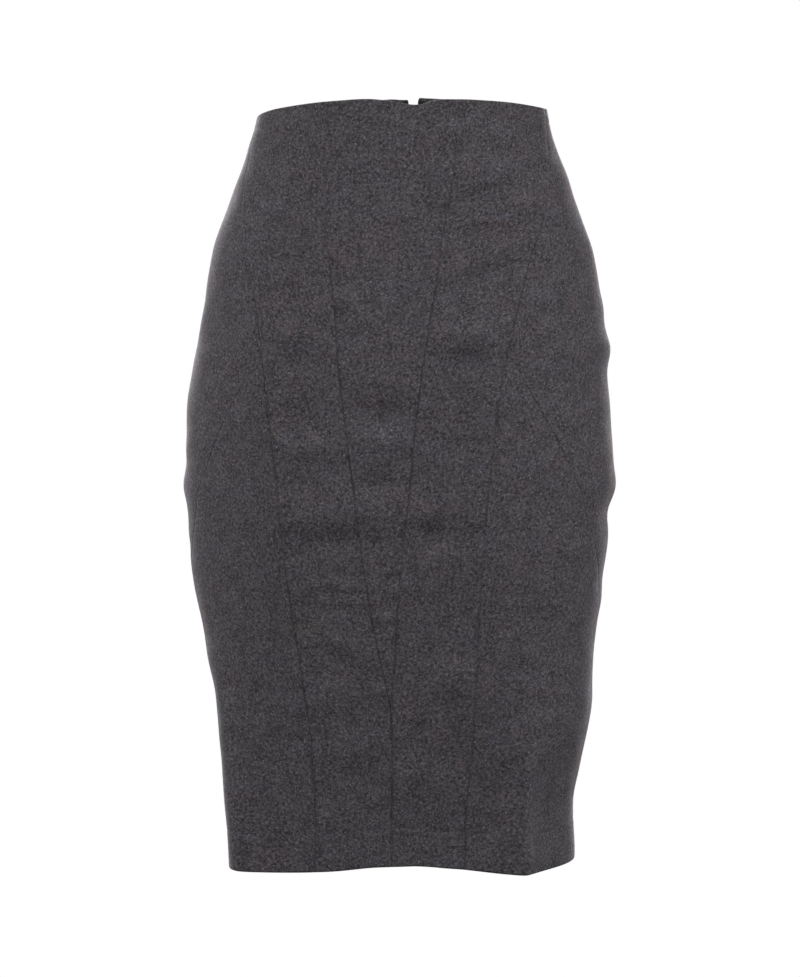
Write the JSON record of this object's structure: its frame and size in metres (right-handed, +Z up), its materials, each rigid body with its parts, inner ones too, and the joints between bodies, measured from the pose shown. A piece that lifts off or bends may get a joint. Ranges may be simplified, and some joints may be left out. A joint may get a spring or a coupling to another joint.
{
  "type": "pencil skirt",
  "caption": "Hollow knee-length pencil skirt filled out as worn, with a shaped centre wedge, slanting hip seams, a concealed back zip and a walking slit.",
  "frame": {"origin": "centre of the waist opening, level with the top edge at the centre front", "axes": "+Z up towards the waist, the hem at about -0.594 m; the front faces -Y; +X is the wearer's left"},
  "size_m": [0.3458, 0.2432, 0.6189],
  "materials": {
    "wool": "charcoal grey marl wool flannel, matte with a short nap",
    "zip_tape": "black woven tape, matte",
    "zip_metal": "dark gunmetal lacquer, satin"
  },
  "bodies": {
    "skirt": {"front_centre": "wool", "front_inner_left": "wool", "front_inner_right": "wool", "front_hip_left": "wool", "front_hip_right": "wool", "front_side_left": "wool", "front_side_right": "wool", "back_left": "wool", "back_right": "wool", "zip_tape_left": "zip_tape", "zip_tape_right": "zip_tape", "zip_chain": "zip_tape", "zip_slider": "zip_metal"},
    "pull_tab": {"zip_pull_tab": "zip_metal"}
  },
  "joints": [
    {"name": "pull_tab_swing", "type": "hinge", "parent": "skirt", "child": "pull_tab", "pos_m": [0.00119, 0.09333, -0.00456], "axis": [1, 0, 0], "range_deg": [0, 150]}
  ]
}
